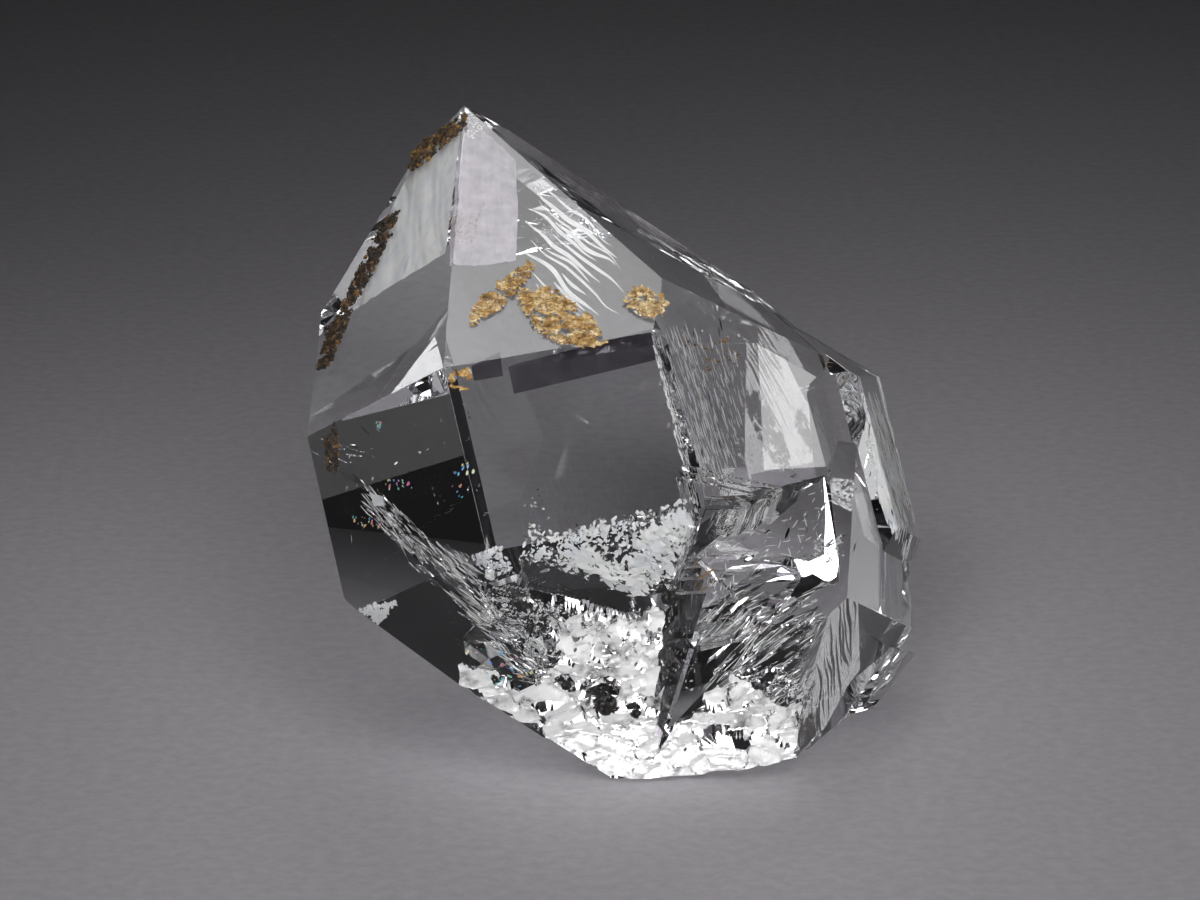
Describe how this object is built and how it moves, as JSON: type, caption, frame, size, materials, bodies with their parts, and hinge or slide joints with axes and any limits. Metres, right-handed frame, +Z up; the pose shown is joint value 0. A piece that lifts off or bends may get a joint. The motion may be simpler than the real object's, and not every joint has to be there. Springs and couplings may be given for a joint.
{
  "type": "herkimer diamond",
  "caption": "Loose doubly terminated clear quartz crystal with smaller crystals grown on its lower right, a chipped base, rusty crusts and black grains, resting on a small flat spot.",
  "frame": {"origin": "middle of the standing box's base, on the surface that the stone rests on", "axes": "+Z up as the stone rests, +X to the right and -Y towards a viewer of its broad front faces"},
  "size_m": [0.0274, 0.0306, 0.0271],
  "materials": {
    "quartz": "polished",
    "crust": "matte",
    "grain": "satin"
  },
  "bodies": {
    "root": {"quartz_crystal": "quartz", "crust_tip": "crust", "crust_left_upper": "crust", "crust_left_lower": "crust", "crust_left_prism": "crust", "crust_oval": "crust", "crust_streak": "crust", "crust_corner": "crust", "crust_edge_top": "crust", "grain_large": "grain", "grain_upper": "grain", "grain_lower": "grain", "grain_high": "grain"}
  },
  "joints": []
}
